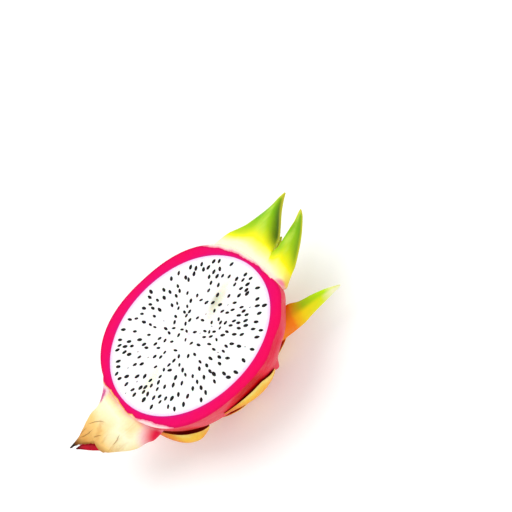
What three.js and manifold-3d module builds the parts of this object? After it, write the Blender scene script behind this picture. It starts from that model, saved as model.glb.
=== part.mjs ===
// Half of a dragon fruit, cut lengthwise, lying on its rounded back with the cut face up.
// Millimetres. +X runs along the fruit from the stem end to the crown, +Z is up, and the origin is the
// centre of the small flat spot that the peel rests on. The cut face is level.

import * as THREE from "three";
import { mergeVertices } from "three/addons/utils/BufferGeometryUtils.js";
import Module from "manifold-3d";

const wasm = await Module();
wasm.setup();

// ---------------------------------------------------------------- driving dimensions

const FLESH_HALF_LENGTH = 49; // white flesh, centre to either end
const FLESH_RADIUS = 40; // white flesh, at the middle of the fruit
const FLESH_FULLNESS = 2.05; // 2 is an ellipse, more is fuller at the shoulders
const RIND_SIDE = 5.8; // rind thickness at the middle of the fruit
const RIND_END = 3; // rind thickness at the stem end and the crown
const RIND_FULLNESS = 2.35;
const FLAT_DEPTH = 0.8; // how far the weight has flattened the peel where it rests
const GAP = 0.3; // between neighbouring pieces
const BRACT_CLEARANCE = 0.5; // round a bract on the skin, where a neighbour comes close
const FLOOR_CLEARANCE = 0.5; // bracts that the fruit's weight presses flat, over the surface

const SCALE_THICKNESS = 2.6; // bracts on the skin, at their attached side
const SCALE_LENGTH = 30;
const SCALE_WIDTH = 14;
const SCALE_LIFT = 4.5; // free margin above the skin
const EDGE = 1.2; // crown bracts, thickness at their edges
const ROUND_LEAF_THICKNESS = 3.4; // bracts of the crown's hidden side, at their root
const EDGE_THINNING = 0.6; // share of a bract's thickness lost at its edges and at its tip

const LATHE_SEGMENTS = 56;
const PROFILE_STEPS = 26;
const ARC_POINTS = 7; // across a crown bract
const SCALE_ROWS = 13; // along a bract on the skin
const SCALE_COLUMNS = 6;
const FAR = 400; // past everything

// ---------------------------------------------------------------- what follows from them

const BODY_HALF_LENGTH = FLESH_HALF_LENGTH + RIND_END;
const BODY_RADIUS = FLESH_RADIUS + RIND_SIDE;
const CUT_HEIGHT = BODY_RADIUS - FLAT_DEPTH;

// ---------------------------------------------------------------- colours

const COLOURS = {
  flesh: { color: 0xfffdfb, roughness: 0.35 },
  peel: { color: 0xe8175f, roughness: 0.45 },
  husk: { color: 0xf3d79a, roughness: 0.7 },
  darkSkin: { color: 0xa80c26, roughness: 0.5 },
  leaf: { color: 0xb6dc28, roughness: 0.45 },
  scale: { color: 0xf6a92c, roughness: 0.45 },
  stub: { color: 0xc9a63a, roughness: 0.7 },
};

// ---------------------------------------------------------------- solids

// A closed geometry as a manifold-3d solid, turned face outwards if it isn't.
function solidOf(geometry) {
  const bare = geometry.clone();
  bare.deleteAttribute("normal");
  bare.deleteAttribute("uv");
  const merged = mergeVertices(bare, 1e-4);
  const points = merged.attributes.position;
  const source = merged.index.array;
  const corner = (i) => new THREE.Vector3().fromBufferAttribute(points, i);
  const faces = [];
  let signedVolume = 0;
  for (let i = 0; i < source.length; i += 3) {
    const [a, b, c] = source.slice(i, i + 3);
    if (a === b || b === c || c === a) continue;
    faces.push([a, b, c]);
    signedVolume += corner(a).dot(corner(b).cross(corner(c)));
  }
  const triVerts = faces.map((face) => (signedVolume < 0 ? [...face].reverse() : face)).flat();
  return new wasm.Manifold(
    new wasm.Mesh({
      numProp: 3,
      vertProperties: new Float32Array(points.array),
      triVerts: new Uint32Array(triVerts),
    }),
  );
}

// A manifold-3d solid as a geometry.
function geometryOf(solid) {
  const mesh = solid.getMesh();
  const geometry = new THREE.BufferGeometry();
  geometry.setAttribute("position", new THREE.BufferAttribute(mesh.vertProperties, 3));
  geometry.setIndex(new THREE.BufferAttribute(mesh.triVerts, 1));
  geometry.computeVertexNormals();
  return geometry;
}

// Radius of a rounded body of revolution at a place along its length.
function radiusAt(x, halfLength, radius, fullness) {
  const share = Math.min(Math.abs(x) / halfLength, 1);
  return radius * Math.pow(1 - Math.pow(share, fullness), 1 / fullness);
}

// The whole body of revolution about the fruit's long axis, which lies in the cut plane.
function revolved(halfLength, radius, fullness) {
  const profile = [];
  for (let i = 0; i <= PROFILE_STEPS; i += 1) {
    const turn = (Math.PI * i) / PROFILE_STEPS;
    const along = -Math.sign(Math.cos(turn)) * Math.pow(Math.abs(Math.cos(turn)), 2 / fullness);
    const x = Math.abs(along) < 1e-9 ? 0 : along * halfLength;
    const onAxis = i === 0 || i === PROFILE_STEPS;
    profile.push(new THREE.Vector2(onAxis ? 0 : radiusAt(x, halfLength, radius, fullness), x));
  }
  const lathe = new THREE.LatheGeometry(profile, LATHE_SEGMENTS);
  lathe.rotateZ(-Math.PI / 2);
  lathe.translate(0, 0, CUT_HEIGHT);
  return solidOf(lathe);
}

// The part of a solid between two heights.
function keptBetween(solid, low, high) {
  const slice = new THREE.BoxGeometry(2 * FAR, 2 * FAR, high - low);
  slice.translate(0, 0, (low + high) / 2);
  return solid.intersect(solidOf(slice));
}

// A closed slab between an outer and an inner grid of points, given as functions of row and column.
function slab(outer, inner, rows, columns) {
  const corners = [];
  for (const layer of [outer, inner]) {
    for (let i = 0; i < rows; i += 1) {
      for (let j = 0; j < columns; j += 1) corners.push(...layer(i, j).toArray());
    }
  }
  const index = [];
  const at = (layer, i, j) => (layer * rows + i) * columns + j;
  const quad = (a, b, c, d) => index.push(a, b, c, a, c, d);
  for (let i = 0; i + 1 < rows; i += 1) {
    for (let j = 0; j + 1 < columns; j += 1) {
      quad(at(0, i, j), at(0, i + 1, j), at(0, i + 1, j + 1), at(0, i, j + 1));
      quad(at(1, i, j), at(1, i, j + 1), at(1, i + 1, j + 1), at(1, i + 1, j));
    }
    const last = columns - 1;
    quad(at(0, i, 0), at(1, i, 0), at(1, i + 1, 0), at(0, i + 1, 0));
    quad(at(0, i, last), at(0, i + 1, last), at(1, i + 1, last), at(1, i, last));
  }
  for (let j = 0; j + 1 < columns; j += 1) {
    const end = rows - 1;
    quad(at(0, 0, j), at(0, 0, j + 1), at(1, 0, j + 1), at(1, 0, j));
    quad(at(0, end, j), at(1, end, j), at(1, end, j + 1), at(0, end, j + 1));
  }
  const geometry = new THREE.BufferGeometry();
  geometry.setAttribute("position", new THREE.Float32BufferAttribute(corners, 3));
  geometry.setIndex(index);
  return solidOf(geometry);
}

// ---------------------------------------------------------------- the body

const outerBody = revolved(BODY_HALF_LENGTH, BODY_RADIUS, RIND_FULLNESS);
const clearOfBody = revolved(BODY_HALF_LENGTH + GAP, BODY_RADIUS + GAP, RIND_FULLNESS);

function peelSolid() {
  const hollow = revolved(FLESH_HALF_LENGTH + GAP, FLESH_RADIUS + GAP, FLESH_FULLNESS);
  return keptBetween(outerBody.subtract(hollow), 0, CUT_HEIGHT);
}

function fleshSolid() {
  return keptBetween(revolved(FLESH_HALF_LENGTH, FLESH_RADIUS, FLESH_FULLNESS), 0, CUT_HEIGHT);
}

// ---------------------------------------------------------------- blades with stations along X

// Every station is { out, left, ridge, right, thick }. out is the distance past the body's end, negative
// where the blade's root runs back over the body. left, ridge and right are [y, height over the cut face]
// of the upper side, and thick is the thickness at those three places.
function bladeSolid(side, stations) {
  const steps = stations.length;
  const across = (from, middle, to, share) => {
    const control = 2 * middle - (from + to) / 2;
    return (1 - share) ** 2 * from + 2 * share * (1 - share) * control + share ** 2 * to;
  };
  const upper = (i, j) => {
    const { out, left, ridge, right } = stations[i];
    const share = j / (ARC_POINTS - 1);
    return new THREE.Vector3(
      side * (BODY_HALF_LENGTH + out),
      across(left[0], ridge[0], right[0], share),
      CUT_HEIGHT + across(left[1], ridge[1], right[1], share),
    );
  };
  const lower = (i, j) => {
    const thick = stations[i].thick;
    const point = upper(i, j);
    point.z -= across(thick[0], thick[1], thick[2], j / (ARC_POINTS - 1));
    return point;
  };
  return slab(upper, lower, steps, ARC_POINTS).subtract(clearOfBody);
}

// The tall crown bract: its root is cut level with the face, its right flank folds down.
const TALL_LEAF = [
  { out: -17, left: [31.5, 0], ridge: [14, 0], right: [-3, 0], thick: [3, 13, 13] },
  { out: -6, left: [31.3, 0], ridge: [14, 0], right: [-3, 0], thick: [3, 12, 12] },
  { out: 0, left: [30.5, 0], ridge: [14, 0], right: [-2.4, 0], thick: [3, 10, 9] },
  { out: 5, left: [28.7, -0.2], ridge: [14.2, 0], right: [0.2, 0], thick: [2.5, 8, 6.5] },
  { out: 9.5, left: [27.4, -0.6], ridge: [15, 0.3], right: [2.6, 0], thick: [2, 5.5, 3.5] },
  { out: 14, left: [26.9, -1], ridge: [16.4, 0.6], right: [5.9, -3], thick: [1.6, 4, 2] },
  { out: 18, left: [26.5, -1.2], ridge: [17.8, 1], right: [9.3, -5], thick: [1.5, 3.5, 1.6] },
  { out: 23, left: [26, -1.3], ridge: [20, 1], right: [14.6, -5.5], thick: [EDGE, 3, EDGE] },
  { out: 28, left: [25.8, -1.2], ridge: [22.6, 0.6], right: [19.6, -4.5], thick: [EDGE, 2.4, EDGE] },
  { out: 33, left: [26, -0.8], ridge: [24.5, 0], right: [23, -2.5], thick: [1, 1.6, 1] },
  { out: 37, left: [25.8, -0.6], ridge: [25.4, -0.4], right: [25, -0.8], thick: [0.8, 0.9, 0.8] },
];

// The second crown bract, beside the tall one, with a free corner at the root of its right margin.
const FRONT_LEAF = [
  { out: -12, left: [-3 - GAP, 0], ridge: [-9, 0], right: [-15, -1], thick: [12, 12, 8] },
  { out: -4, left: [-3 - GAP, 0], ridge: [-9, 0], right: [-15.5, -1], thick: [12, 11, 6] },
  { out: 0, left: [-2.4 - GAP, 0], ridge: [-9, 0], right: [-16.5, -2], thick: [9, 9, 3] },
  { out: 2.5, left: [-1.1 - GAP, 0], ridge: [-8, 0], right: [-17.4, -3], thick: [8, 8, 2] },
  { out: 5, left: [0.2 - GAP, 0], ridge: [-6.6, 0], right: [-16, -3.2], thick: [6.5, 7, 1.8] },
  { out: 9.5, left: [2.6 - GAP, 0], ridge: [-4, 0.4], right: [-13.2, -3.6], thick: [3.5, 5, 1.6] },
  { out: 14, left: [2.5, 0], ridge: [-1.5, 0.8], right: [-10.6, -4], thick: [2, 4, 1.5] },
  { out: 20, left: [4.4, 0], ridge: [1, 1], right: [-5.8, -4.5], thick: [1.5, 3.4, EDGE] },
  { out: 25.5, left: [5.8, -0.2], ridge: [4.2, 0.8], right: [-1.1, -4.5], thick: [EDGE, 2.8, EDGE] },
  { out: 30, left: [8.1, -1], ridge: [6.6, -0.4], right: [3.1, -4], thick: [EDGE, 2.2, EDGE] },
  { out: 35, left: [11.4, -2.2], ridge: [10.6, -2], right: [8.6, -3.6], thick: [1, 1.4, 1] },
  { out: 37, left: [12.6, -3], ridge: [12.2, -2.9], right: [11.8, -3.2], thick: [0.8, 0.9, 0.8] },
];

// The small withered bract in the notch between the two.
const STUB_LEAF = [
  { out: 5.5, left: [8, -9.5], ridge: [4.5, -9], right: [1, -9.5], thick: [1.5, 3, 1.5] },
  { out: 11, left: [10, -8.6], ridge: [7, -8], right: [4, -8.6], thick: [1.2, 2.4, 1.2] },
  { out: 15.5, left: [11.2, -8.3], ridge: [9.4, -7.9], right: [7.4, -8.4], thick: [1, 1.8, 1] },
  { out: 19.5, left: [11.2, -8], ridge: [10.8, -7.8], right: [10.2, -8], thick: [0.8, 0.9, 0.8] },
];

// The yellow-green bract on the crown's lower shoulder, in front.
const SHOULDER_LEAF = [
  { out: -20, left: [-20, -15], ridge: [-25.5, -20], right: [-25, -27], thick: [4, 4, 3] },
  { out: -10, left: [-19.5, -13.2], ridge: [-25.8, -17.6], right: [-27.5, -24.6], thick: [4, 4, 2.5] },
  { out: -2.8, left: [-19.9, -12.5], ridge: [-25.8, -16.6], right: [-28.8, -23.5], thick: [3, 4, 2] },
  { out: 2.7, left: [-22.8, -13], ridge: [-26.8, -16.4], right: [-28.9, -22.5], thick: [1.6, 3.6, 1.6] },
  { out: 10.6, left: [-24.7, -14], ridge: [-27.6, -16.6], right: [-29.1, -21.5], thick: [EDGE, 3, EDGE] },
  { out: 18, left: [-26.6, -16], ridge: [-28.4, -17.6], right: [-29.3, -20.5], thick: [EDGE, 2.2, EDGE] },
  { out: 24.7, left: [-29, -18.6], ridge: [-29.3, -18.9], right: [-29.6, -19.4], thick: [0.8, 0.9, 0.8] },
];

// Blades of the hidden side of the crown, each [distance past the body's end, radius from the fruit's
// axis, angle from the +Y side down, half angle].
const ROUND_LEAVES = {
  crown_leaf_back: [
    [-16, 31, 44, 20],
    [-6, 29, 43, 19],
    [4, 26.5, 40, 16],
    [14, 26, 36, 9],
    [21, 27.5, 33, 4],
    [25, 29, 31, 1],
  ],
  crown_leaf_under: [
    [-12, 30, 98, 16],
    [-8, 27, 96, 17],
    [0, 23, 91, 17],
    [6, 21.5, 85, 13],
    [11, 21.5, 80, 6],
    [14.5, 22.5, 77, 1.5],
  ],
};
function roundLeafSolid(stations) {
  const place = (depth) => (i, j) => {
    const [out, radius, angle, half] = stations[i];
    const across = (2 * j) / (ARC_POINTS - 1) - 1;
    const turn = THREE.MathUtils.degToRad(angle + half * across);
    const toTip = i / (stations.length - 1);
    const taper = (1 - EDGE_THINNING * across * across) * (1 - EDGE_THINNING * toTip);
    const reach = radius - depth * ROUND_LEAF_THICKNESS * taper;
    const x = BODY_HALF_LENGTH + out;
    return new THREE.Vector3(x, reach * Math.cos(turn), CUT_HEIGHT - reach * Math.sin(turn));
  };
  return slab(place(0), place(1), stations.length, ARC_POINTS).subtract(clearOfBody);
}

// ---------------------------------------------------------------- the stem end

// Dried husk, cut level on top and round below, torn away on its right side near the tip.
const HUSK = [
  { out: -9, left: [24, 0], ridge: [-3, 0], right: [-27.5, -7], thick: [1.5, 24, 3] },
  { out: -2, left: [17, 0], ridge: [-5.5, 0], right: [-28, -8], thick: [1.5, 20, 2] },
  { out: 2, left: [11.3, 0], ridge: [-7, 0], right: [-26.6, -8], thick: [1.5, 17, 1.6] },
  { out: 8.8, left: [6, 0], ridge: [-9, 0], right: [-24.8, -8], thick: [1.5, 12, 1.5] },
  { out: 15, left: [5.2, -0.2], ridge: [-7.5, 0], right: [-21, -7], thick: [1.4, 8.5, 1.4] },
  { out: 20.7, left: [3.3, -0.6], ridge: [-6.6, 0], right: [-17.8, -6], thick: [1.3, 5.5, 1.3] },
  { out: 23.3, left: [2, -0.9], ridge: [-5, -0.3], right: [-13.1, -5.2], thick: [1.3, 4, 1.3] },
  { out: 24.2, left: [1.6, -1], ridge: [-3.4, -0.5], right: [-8.5, -3], thick: [1.3, 3.4, 1.3] },
  { out: 28, left: [0.3, -1.4], ridge: [-2.6, -1], right: [-5.8, -2.8], thick: [1.2, 2.6, 1.2] },
  { out: 32, left: [-0.3, -1.8], ridge: [-1.2, -1.6], right: [-2.6, -2.6], thick: [1, 1.8, 1] },
  { out: 35.4, left: [-0.5, -2.2], ridge: [-0.9, -2.1], right: [-1.3, -2.3], thick: [0.8, 0.9, 0.8] },
];

// The dark-red bract under the husk, which shows where the husk is torn.
const HUSK_SCALE = [
  { out: 12, left: [0, -14], ridge: [-9, -13], right: [-18, -12.6], thick: [1, 1.8, 1] },
  { out: 18, left: [0, -11.2], ridge: [-8.4, -9.8], right: [-17, -10], thick: [1, 1.8, 1] },
  { out: 24.3, left: [-1.6, -7], ridge: [-6.6, -5.6], right: [-11.6, -7.2], thick: [1, 1.7, 1] },
  { out: 28, left: [-2, -5.8], ridge: [-5, -4.8], right: [-8.4, -6], thick: [0.9, 1.4, 0.9] },
  { out: 31.7, left: [-2, -5], ridge: [-3.2, -4.6], right: [-4.5, -5], thick: [0.8, 1, 0.8] },
  { out: 33.6, left: [-2, -4.6], ridge: [-2.4, -4.5], right: [-2.8, -4.6], thick: [0.6, 0.7, 0.6] },
];

// ---------------------------------------------------------------- bracts on the skin

// A point over the skin, from its place along X, its angle from the +Y side down and its height.
function overSkin(x, angle, height) {
  const radius = radiusAt(x, BODY_HALF_LENGTH, BODY_RADIUS, RIND_FULLNESS);
  const step = 0.1;
  const next = radiusAt(x + step, BODY_HALF_LENGTH, BODY_RADIUS, RIND_FULLNESS);
  const slope = new THREE.Vector2(step, next - radius).normalize();
  const reach = radius + height * slope.x;
  return new THREE.Vector3(
    x - height * slope.y,
    reach * Math.cos(angle),
    CUT_HEIGHT - reach * Math.sin(angle),
  );
}

// How wide and high a flap is along its length, 0 at its thin ends and 1 at its widest.
function flapOutline(share) {
  const thinEnd = 0.06;
  const bluntEnd = 0.08;
  return Math.pow(Math.sin(Math.PI * (thinEnd + (1 - thinEnd - bluntEnd) * share)), 0.8);
}

// A crescent flap that points to the crown: attached along its hidden side, free along its margin and at
// its tip. Toward is the side that the margin faces, 1 away from +Y and -1 towards it. The fruit's weight
// presses flat what would reach the surface. Grow is a clearance round the flap, for cutting a neighbour.
function scaleSolid({ along, margin, toward, length, width, lift }, grow = 0) {
  const span = length + 2 * grow;
  const start = along * BODY_HALF_LENGTH - span / 2;
  const bulgeTurn = 2.1; // radians of a sine across the flap, so that the margin curls in a little
  const tipLift = 0.6 * lift;
  const skin = (i, j, depth) => {
    const s = i / (SCALE_ROWS - 1);
    const v = j / (SCALE_COLUMNS - 1);
    const outline = flapOutline(s);
    const x = start + span * s;
    const around = Math.max(radiusAt(x, BODY_HALF_LENGTH, BODY_RADIUS, RIND_FULLNESS), width);
    const inFromMargin = (1 - v) * (width * outline + 2 * grow) - grow;
    const turn = THREE.MathUtils.degToRad(margin) - (toward * inFromMargin) / around;
    const bulge = lift * outline * Math.sin(bulgeTurn * v);
    const height = GAP + grow + bulge + tipLift * THREE.MathUtils.smoothstep(s, 0.6, 1);
    const thickness = SCALE_THICKNESS * (1 - EDGE_THINNING * v) * (0.3 + 0.7 * outline) + 2 * grow;
    return overSkin(x, turn, height - depth * thickness);
  };
  const outer = (i, j) => skin(i, j, 0);
  const inner = (i, j) => skin(i, j, 1);
  const flap = slab(outer, inner, SCALE_ROWS, SCALE_COLUMNS).subtract(clearOfBody);
  return grow > 0 ? flap : keptBetween(flap, FLOOR_CLEARANCE, FAR);
}

// The two bracts on the skin in front, by the middle of their length as a share of the half length.
const SIDE_SCALES = [
  { name: "side_bract_low", along: 0.08, margin: 167, toward: 1, length: 34, width: 20, lift: 3 },
  { name: "side_bract_base", along: -0.58, margin: 160, toward: 1, length: 25, width: 20, lift: 7.5 },
];

// The others, in the same spiral: share of the half length, margin's angle, side that the margin faces.
const BACK_PLACES = [
  [-0.58, 122, 1],
  [0.46, 124, 1],
  [-0.1, 138, 1],
  [-0.6, 56, -1],
  [0.52, 66, -1],
  [0.42, 43, -1],
  [-0.26, 38, -1],
  [-0.56, 17, -1],
  [0.36, 15, -1],
];

// ---------------------------------------------------------------- assembly

const fruit = new THREE.Group();

function add(name, solid, look) {
  const mesh = new THREE.Mesh(
    geometryOf(solid),
    new THREE.MeshStandardMaterial({ ...COLOURS[look], metalness: 0 }),
  );
  mesh.name = name;
  fruit.add(mesh);
}

const backScales = BACK_PLACES.map(([along, margin, toward], i) => {
  const name = `back_bract_${i + 1}`;
  return { name, along, margin, toward, length: SCALE_LENGTH, width: SCALE_WIDTH, lift: SCALE_LIFT };
});
const skinScales = [...SIDE_SCALES, ...backScales];

// A piece with room left round the bracts on the skin.
function clearOfScales(solid, scales) {
  return scales.reduce((rest, scale) => rest.subtract(scaleSolid(scale, BRACT_CLEARANCE)), solid);
}

add("peel", peelSolid(), "peel");
add("flesh", fleshSolid(), "flesh");
add("stem_end", clearOfScales(bladeSolid(-1, HUSK), skinScales), "husk");
add("stem_scale", bladeSolid(-1, HUSK_SCALE), "darkSkin");
add("crown_leaf_tall", clearOfScales(bladeSolid(1, TALL_LEAF), skinScales), "leaf");
add("crown_leaf_front", bladeSolid(1, FRONT_LEAF), "leaf");
add("crown_stub", bladeSolid(1, STUB_LEAF), "stub");
add("side_bract_crown", clearOfScales(bladeSolid(1, SHOULDER_LEAF), skinScales), "leaf");
for (const [name, stations] of Object.entries(ROUND_LEAVES)) {
  add(name, clearOfScales(roundLeafSolid(stations), skinScales), "leaf");
}
skinScales.forEach((scale, i) => {
  add(scale.name, clearOfScales(scaleSolid(scale), skinScales.slice(0, i)), "scale");
});

export default fruit;
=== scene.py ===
"""Looks of a dragon fruit half that lies on its rounded back with the cut face up.

Laid out as a Blender add-on and run as a script. Metres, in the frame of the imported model: +X runs from
the stem end to the crown, +Z is up, and the origin is the flat spot that the peel rests on.
"""

import math
import random

import bpy
from bpy.props import FloatProperty, FloatVectorProperty, IntProperty, PointerProperty
from mathutils import Matrix, Vector, noise


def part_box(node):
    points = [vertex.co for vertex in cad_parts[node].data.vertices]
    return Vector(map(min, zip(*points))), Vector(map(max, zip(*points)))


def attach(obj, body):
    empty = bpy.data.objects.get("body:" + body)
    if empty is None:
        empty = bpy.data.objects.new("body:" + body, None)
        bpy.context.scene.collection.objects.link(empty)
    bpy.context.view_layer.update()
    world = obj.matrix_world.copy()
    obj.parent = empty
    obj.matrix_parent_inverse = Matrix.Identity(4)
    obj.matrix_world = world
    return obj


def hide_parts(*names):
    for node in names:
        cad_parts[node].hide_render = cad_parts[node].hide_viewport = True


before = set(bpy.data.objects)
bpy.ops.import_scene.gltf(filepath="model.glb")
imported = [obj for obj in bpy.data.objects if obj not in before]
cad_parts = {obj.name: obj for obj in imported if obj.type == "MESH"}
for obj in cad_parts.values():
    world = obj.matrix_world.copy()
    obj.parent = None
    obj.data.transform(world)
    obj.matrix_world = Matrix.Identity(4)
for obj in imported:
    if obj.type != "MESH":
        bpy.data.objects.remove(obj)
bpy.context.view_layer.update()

bl_info = {
    "name": "Dragon fruit half",
    "version": (1, 0, 0),
    "blender": (4, 5, 0),
    "location": "View3D > Sidebar > Dragon fruit",
    "description": "Builds the peel, flesh, seeds, crown, bracts and stem end of a halved dragon fruit",
    "category": "Object",
}

# ---------------------------------------------------------------- sizes taken from the frame

MM = 0.001
PEEL_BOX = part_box("peel")
FLESH_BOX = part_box("flesh")
BODY_HALF_LENGTH = PEEL_BOX[1].x
BODY_RADIUS = PEEL_BOX[1].y
FLESH_HALF_LENGTH = FLESH_BOX[1].x
FLESH_RADIUS = FLESH_BOX[1].y
CUT_HEIGHT = PEEL_BOX[1].z

# The two outlines are superellipses: 2 is an ellipse, more is fuller.
RIND_FULLNESS = 2.35
FLESH_FULLNESS = 2.05


def linear(red, green, blue):
    """A colour given in 0 to 255 screen values as the linear colour that Blender works with."""
    shares = (red / 255, green / 255, blue / 255)
    return (*(s / 12.92 if s <= 0.04045 else ((s + 0.055) / 1.055) ** 2.4 for s in shares), 1.0)


def number_property(name, description, default, **kind):
    return FloatProperty(name=name, description=description, default=default, **kind)


def size_property(name, description, default):
    return number_property(name, description, default, unit="LENGTH", subtype="DISTANCE")


def colour_property(name, description, default):
    return FloatVectorProperty(
        name=name, description=description, default=default, size=4, subtype="COLOR", min=0, max=1
    )


class FruitSizes(bpy.types.PropertyGroup):
    """Sizes of the fine work on the fruit."""

    cut_edge: size_property("Cut edge", "Rounding of the peel's cut edge", 0.35 * MM)
    skin_relief: size_property("Skin relief", "Height of the soft lumps in the skin", 0.7 * MM)
    seed_length: size_property("Seed length", "Length of a seed near the rind", 3.35 * MM)
    seed_width: size_property("Seed width", "Width of a seed", 1.85 * MM)
    seed_height: size_property("Seed height", "Height of a seed", 1.0 * MM)
    seed_spacing: size_property("Seed spacing", "Least distance between two seeds", 3.0 * MM)
    seed_margin: size_property("Seed margin", "Flesh without seeds inside the rind", 2.9 * MM)
    seed_count: IntProperty(name="Seeds", description="Seeds in the cut face", default=236, min=0)
    chance: IntProperty(name="Chance", description="Number that the random choices start from", default=7)


class FruitColours(bpy.types.PropertyGroup):
    """Colours of the fruit's surfaces."""

    skin: colour_property("Skin", "Skin of the peel", linear(230, 34, 68))
    skin_light: colour_property("Light skin", "Paler patches of the skin", linear(236, 90, 104))
    # The deep skin colour is painted shade, laid in the folds beside the bracts' free margins.
    skin_groove_shade: colour_property("Deep skin", "Skin in the creases beside the bracts", linear(200, 0, 6))
    rind: colour_property("Rind", "Cut face of the rind", linear(236, 0, 100))
    flesh: colour_property("Flesh", "Flesh", linear(252, 251, 250))
    seed: colour_property("Seed", "Ripe seeds", linear(14, 12, 14))
    cream: colour_property("Cream", "Roots of the crown bracts", linear(255, 250, 205))
    yellow: colour_property("Yellow", "Middle of the crown bracts", linear(255, 246, 10))
    green: colour_property("Green", "Tips of the crown bracts", linear(128, 194, 6))
    orange: colour_property("Orange", "Bracts on the skin", linear(244, 132, 24))
    margin: colour_property("Margin", "Thin margins of the bracts", linear(255, 226, 120))
    husk: colour_property("Husk", "Dried stem end", linear(250, 208, 128))
    husk_dark: colour_property("Husk cracks", "Cracks and torn edges of the stem end", linear(150, 88, 26))
    floor: colour_property("Floor", "Surface that the fruit lies on", linear(250, 250, 250))


class StageSettings(bpy.types.PropertyGroup):
    """Camera and light."""

    lens: number_property("Lens", "Focal length in millimetres", 85, subtype="DISTANCE_CAMERA")
    distance: size_property("Distance", "Camera to the middle of its view", 0.64)
    key_power: number_property("Key light", "Key light in watts", 3.0, subtype="POWER")
    fill_power: number_property("Fill light", "Fill light in watts", 0.6, subtype="POWER")
    sky: number_property("Sky", "Strength of the even light from all round", 0.76, subtype="FACTOR")


# ---------------------------------------------------------------- small modelling helpers

SAME_PLACE = 1e-6  # metres: corners closer than this are one corner


def deselect_all():
    if bpy.context.mode != "OBJECT":
        bpy.ops.object.mode_set(mode="OBJECT")
    bpy.ops.object.select_all(action="DESELECT")


def make_active(piece):
    deselect_all()
    piece.select_set(True)
    bpy.context.view_layer.objects.active = piece


def select_in_edit_mode(piece, kind, wanted):
    """Enters edit mode with only the wanted edges or faces selected."""
    make_active(piece)
    mesh = piece.data
    bpy.ops.object.mode_set(mode="EDIT")
    bpy.ops.mesh.select_mode(type=kind)
    bpy.ops.mesh.select_all(action="DESELECT")
    bpy.ops.object.mode_set(mode="OBJECT")
    for element in mesh.edges if kind == "EDGE" else mesh.polygons:
        element.select = wanted(element)
    bpy.ops.object.mode_set(mode="EDIT")


def edit_whole(piece):
    make_active(piece)
    bpy.ops.object.mode_set(mode="EDIT")
    bpy.ops.mesh.select_all(action="SELECT")


def leave_edit_mode():
    bpy.ops.object.mode_set(mode="OBJECT")


def placed_grid(name, rows, columns, place):
    """A grid of that many cells, each corner moved to place(share of rows, share of columns)."""
    deselect_all()
    bpy.ops.mesh.primitive_grid_add(x_subdivisions=rows, y_subdivisions=columns, size=1.0)
    piece = bpy.context.active_object
    piece.name = name
    piece.data.name = name
    if len(piece.data.vertices) != (rows + 1) * (columns + 1):
        raise RuntimeError(f"{name}: the grid has an unexpected number of corners")
    for vertex in piece.data.vertices:
        vertex.co = place(vertex.co.x + 0.5, vertex.co.y + 0.5)
    return piece


def close_shell(piece):
    """Merges the seam of a rolled-up grid, closes its two ends and turns its faces outwards."""
    edit_whole(piece)
    bpy.ops.mesh.remove_doubles(threshold=SAME_PLACE)
    bpy.ops.mesh.select_all(action="DESELECT")
    bpy.ops.mesh.select_mode(type="EDGE")
    bpy.ops.mesh.select_non_manifold()
    bpy.ops.mesh.fill_holes(sides=0)
    bpy.ops.mesh.select_all(action="SELECT")
    bpy.ops.mesh.normals_make_consistent(inside=False)
    leave_edit_mode()


def write_attribute(piece, name, value):
    """A number at each corner of the piece, worked out from its place, for its finish to read."""
    attribute = piece.data.attributes.new(name, "FLOAT", "POINT")
    for vertex in piece.data.vertices:
        attribute.data[vertex.index].value = value(vertex.co)


def finished(piece, finishes, nodes=(), angle=40):
    """Gives a piece its finishes, smooth shading and the body that it rides on, and hides the imported
    parts that it stands in for.
    """
    for finish in finishes:
        piece.data.materials.append(finish)
    make_active(piece)
    bpy.ops.object.shade_smooth_by_angle(angle=math.radians(angle))
    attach(piece, "root")
    if nodes:
        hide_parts(*nodes)
    deselect_all()


def clamped(value):
    return min(max(value, 0), 1)


def smoothstep(low, high, value):
    share = clamped((value - low) / (high - low))
    return share * share * (3 - 2 * share)


def mixed(first, second, share):
    return first + (second - first) * share


# ---------------------------------------------------------------- the body's form


def radius_at(x, half_length=BODY_HALF_LENGTH, radius=BODY_RADIUS, fullness=RIND_FULLNESS):
    share = min(abs(x) / half_length, 1)
    return radius * (1 - share**fullness) ** (1 / fullness)


def profile_point(share, half_length, radius, fullness):
    """A point of the outline in the cut plane, from the stem end to the crown, as (x, distance out)."""
    turn = math.pi * share
    along = -math.copysign(abs(math.cos(turn)) ** (2 / fullness), math.cos(turn))
    return along * half_length, radius * max(math.sin(turn), 0) ** (2 / fullness)


def past_body(point):
    """How far a point lies past the body's outline, seen from above. Negative is inside."""
    share = abs(point.x) / BODY_HALF_LENGTH
    out = abs(point.y) / BODY_RADIUS
    size = (share**RIND_FULLNESS + out**RIND_FULLNESS) ** (1 / RIND_FULLNESS)
    return math.hypot(point.x, point.y) * (1 - 1 / max(size, 1e-6))


# Where the cream of the crown and of the stem end begins in the cut face, as (x, y) in millimetres.
CROWN_BORDER = [
    (36, 36.5), (39.7, 31.1), (46.2, 19.6), (48.9, 10.6),
    (51.5, 1.6), (52, -6.2), (52.6, -12.5), (52.8, -20),
]
STEM_BORDER = [
    (-60, 24), (-51.8, 14.5), (-50.6, 6.8), (-51.4, -2.3),
    (-51, -10.1), (-48.6, -17.1), (-42, -27.7), (-37, -35),
]
BORDER_UNIT = 10 * MM  # the finishes read the distance past the border in this unit


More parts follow.
